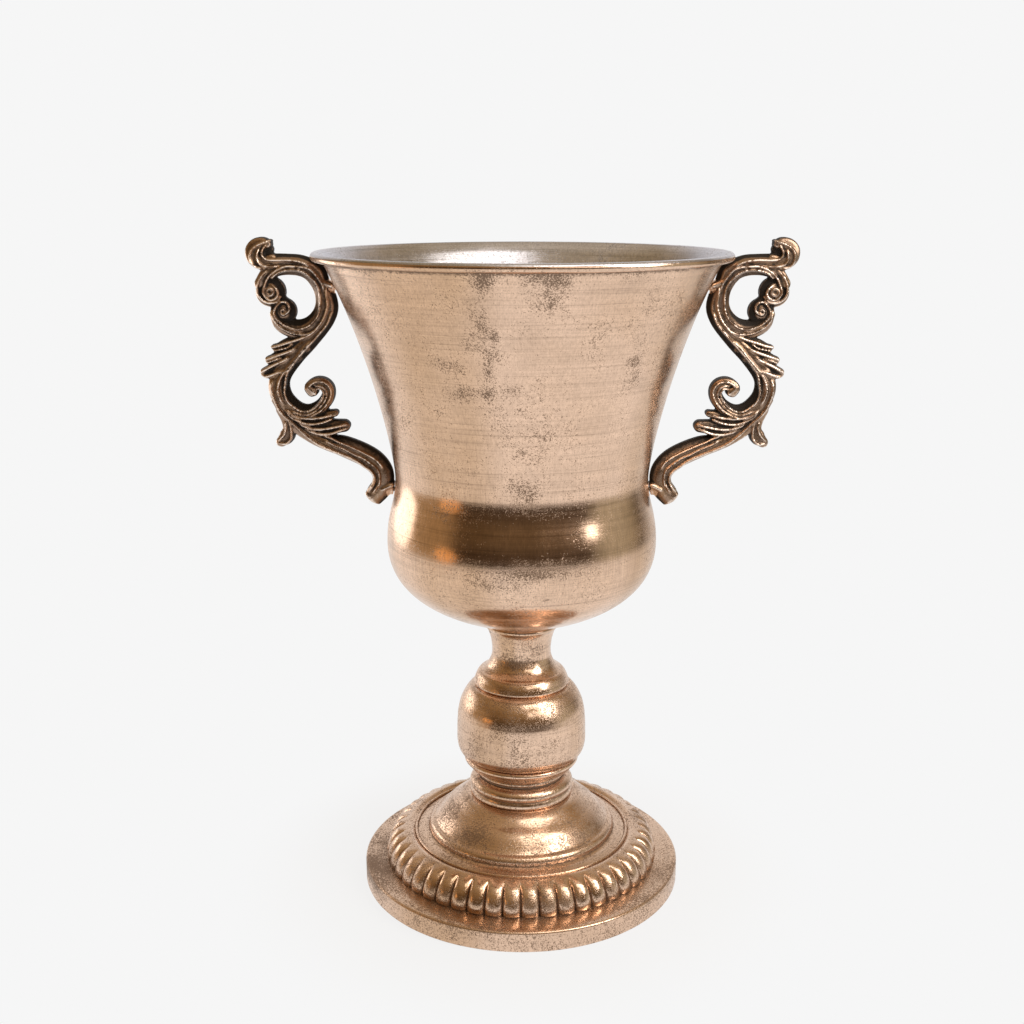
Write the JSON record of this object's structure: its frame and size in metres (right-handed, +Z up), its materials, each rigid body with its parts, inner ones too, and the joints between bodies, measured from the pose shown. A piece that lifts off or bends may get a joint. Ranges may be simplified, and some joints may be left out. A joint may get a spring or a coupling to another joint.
{
  "type": "footed metal planter",
  "caption": "Footed metal urn planter with a flared cup, turned stem, gadrooned foot and cast scroll handles.",
  "frame": {"origin": "on the ground, at the middle of the foot's underside", "axes": "+Z up along the stem, +X towards the right handle, +Y away from the viewer"},
  "size_m": [0.3154, 0.2396, 0.3947],
  "materials": {
    "bronze": "antique bronze plate, brushed in rings, with dark pitted patina",
    "dark_bronze": "cast, dark patina in the recesses and worn bright on the ridges",
    "steel": "zinc plated"
  },
  "bodies": {
    "root": {"foot": "bronze", "lower_collar": "bronze", "knop_ring": "bronze", "knop": "bronze", "neck": "bronze", "cup": "bronze", "handle_right": "dark_bronze", "handle_left": "dark_bronze", "tie_rod": "steel", "cup_washer": "steel", "cup_nut": "steel", "foot_washer": "steel", "lock_washer": "steel", "foot_nut": "steel", "screw_washer_right_upper": "steel", "screw_right_upper": "steel", "screw_washer_right_lower": "steel", "screw_right_lower": "steel", "screw_washer_left_upper": "steel", "screw_left_upper": "steel", "screw_washer_left_lower": "steel", "screw_left_lower": "steel"}
  },
  "joints": []
}
